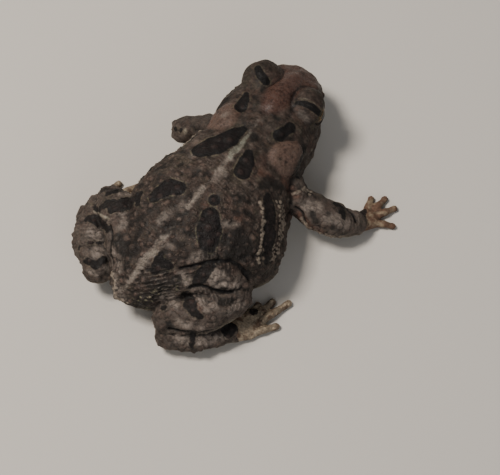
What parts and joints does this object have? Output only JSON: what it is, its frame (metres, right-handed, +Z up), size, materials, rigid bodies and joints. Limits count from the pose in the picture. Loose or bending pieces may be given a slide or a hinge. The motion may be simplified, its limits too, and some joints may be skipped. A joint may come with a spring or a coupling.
{
  "type": "canadian toad",
  "caption": "Life-size Canadian toad crouched on its belly, right forelimb reached out to the side, hind legs folded, warty back, parotoid glands and a boss between the eyes.",
  "frame": {"origin": "on the flat of the belly that rests on the floor, under the fore part of the trunk", "axes": "+Z up from the floor, -Y the way the snout points, +X the animal's left"},
  "size_m": [0.0518, 0.0626, 0.0203],
  "materials": {
    "back_skin": "matte, granular",
    "head_skin": "satin, slightly moist",
    "jaw_skin": "matte",
    "gland_skin": "satin",
    "limb_skin": "matte, granular",
    "hand_skin": "matte",
    "eye": "gloss, moist"
  },
  "bodies": {
    "root": {"torso": "back_skin", "head": "head_skin", "lower_jaw": "jaw_skin", "eye_left": "eye", "parotoid_left": "gland_skin", "upper_arm_left": "limb_skin", "forearm_left": "limb_skin", "hand_left": "hand_skin", "thigh_left": "limb_skin", "shank_left": "limb_skin", "tarsus_left": "limb_skin", "foot_left": "hand_skin", "eye_right": "eye", "parotoid_right": "gland_skin", "upper_arm_right": "limb_skin", "forearm_right": "limb_skin", "hand_right": "hand_skin", "thigh_right": "limb_skin", "shank_right": "limb_skin", "tarsus_right": "limb_skin", "foot_right": "hand_skin"}
  },
  "joints": []
}
